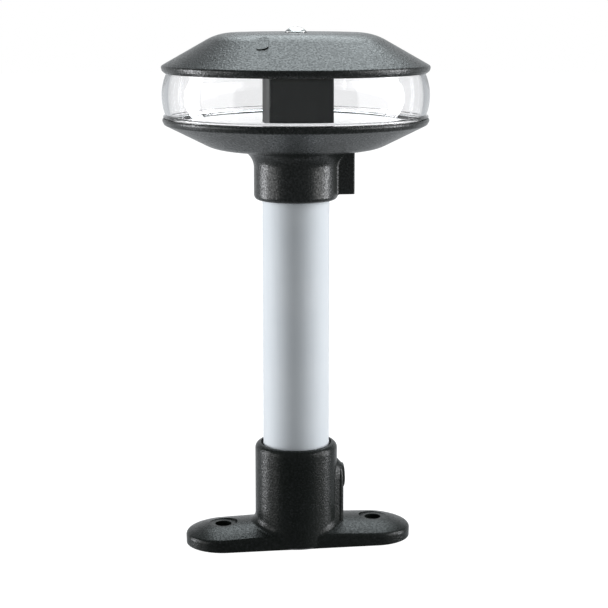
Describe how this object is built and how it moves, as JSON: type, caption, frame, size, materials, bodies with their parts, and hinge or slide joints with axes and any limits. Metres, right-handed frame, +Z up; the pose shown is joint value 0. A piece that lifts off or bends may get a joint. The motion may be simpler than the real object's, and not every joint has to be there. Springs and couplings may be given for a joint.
{
  "type": "navigation light",
  "caption": "Fixed-mount all-round navigation light: black two-hole deck base, aluminium mast tube, and a black mushroom head with a clear drum lens and a wedge lamp.",
  "frame": {"origin": "on the mast tube's axis, at the level of the deck base's underside", "axes": "+Z up along the mast tube; +X along the long side of the base, towards the two clamp set screws; -Y is the side with the dark lamp carrier screen in front of the lamp"},
  "size_m": [0.1006, 0.1006, 0.1983],
  "materials": {
    "black_plastic": "moulded black plastic with a fine spark-eroded grain",
    "anodised_aluminium": "satin clear-anodised tube",
    "clear_acrylic": "clear moulded acrylic, polished",
    "rubber_seal": "black rubber",
    "stainless_screw": "stainless steel, lightly brushed",
    "black_steel": "blackened steel set screw",
    "brass": "plain brass",
    "polished_reflector": "bright polished sheet",
    "bulb_glass": "clear bulb glass",
    "bulb_ceramic": "pressed glass wedge, pale",
    "bright_wire": "bright nickel wire",
    "tungsten": "coiled tungsten wire",
    "black_carrier": "smooth moulded black plastic"
  },
  "bodies": {
    "mast": {"base": "black_plastic", "base_gasket": "rubber_seal", "mast_tube": "anodised_aluminium", "tube_grommet": "rubber_seal", "lower_housing": "black_plastic", "collar_o_ring": "rubber_seal", "lower_lens_gasket": "rubber_seal", "reflector": "polished_reflector", "lamp_carrier": "black_carrier", "carrier_screws": "stainless_screw", "contact_live": "brass", "contact_return": "brass", "threaded_insert": "brass"},
    "lens_ring": {"lens": "clear_acrylic"},
    "cap_top": {"cap": "black_plastic", "cap_screw_washer": "rubber_seal", "upper_lens_gasket": "rubber_seal"},
    "cap_fastener": {"cap_screw": "stainless_screw"},
    "lamp": {"bulb_glass": "bulb_glass", "bulb_base": "bulb_ceramic", "filament": "tungsten", "filament_supports": "bright_wire"},
    "base_clamp": {"base_set_screw": "black_steel"},
    "housing_clamp": {"housing_set_screw": "black_steel"}
  },
  "joints": [
    {"name": "cap_lift", "type": "slide", "parent": "mast", "child": "cap_top", "axis": [0, 0, 1], "range_m": [0, 0.09]},
    {"name": "lens_lift", "type": "slide", "parent": "mast", "child": "lens_ring", "axis": [0, 0, 1], "range_m": [0, 0.0501]},
    {"name": "lamp_pull", "type": "slide", "parent": "mast", "child": "lamp", "axis": [0, 0, 1], "range_m": [0, 0.0271]},
    {"name": "cap_screw_turn", "type": "hinge", "parent": "cap_top", "child": "cap_fastener", "pos_m": [0, 0, 0.19], "axis": [0, 0, 1], "range_deg": [0, 1440]},
    {"name": "base_set_screw_turn", "type": "hinge", "parent": "mast", "child": "base_clamp", "pos_m": [0.0155, 0, 0.0246], "axis": [1, 0, 0], "range_deg": [0, 1080]},
    {"name": "housing_set_screw_turn", "type": "hinge", "parent": "mast", "child": "housing_clamp", "pos_m": [0.0175, 0, 0.1415], "axis": [1, 0, 0], "range_deg": [0, 1080]}
  ],
  "couplings": [
    {"joint": "lens_lift", "follows": "cap_lift", "ratio": 0.5556},
    {"joint": "lamp_pull", "follows": "cap_lift", "ratio": 0.3}
  ]
}
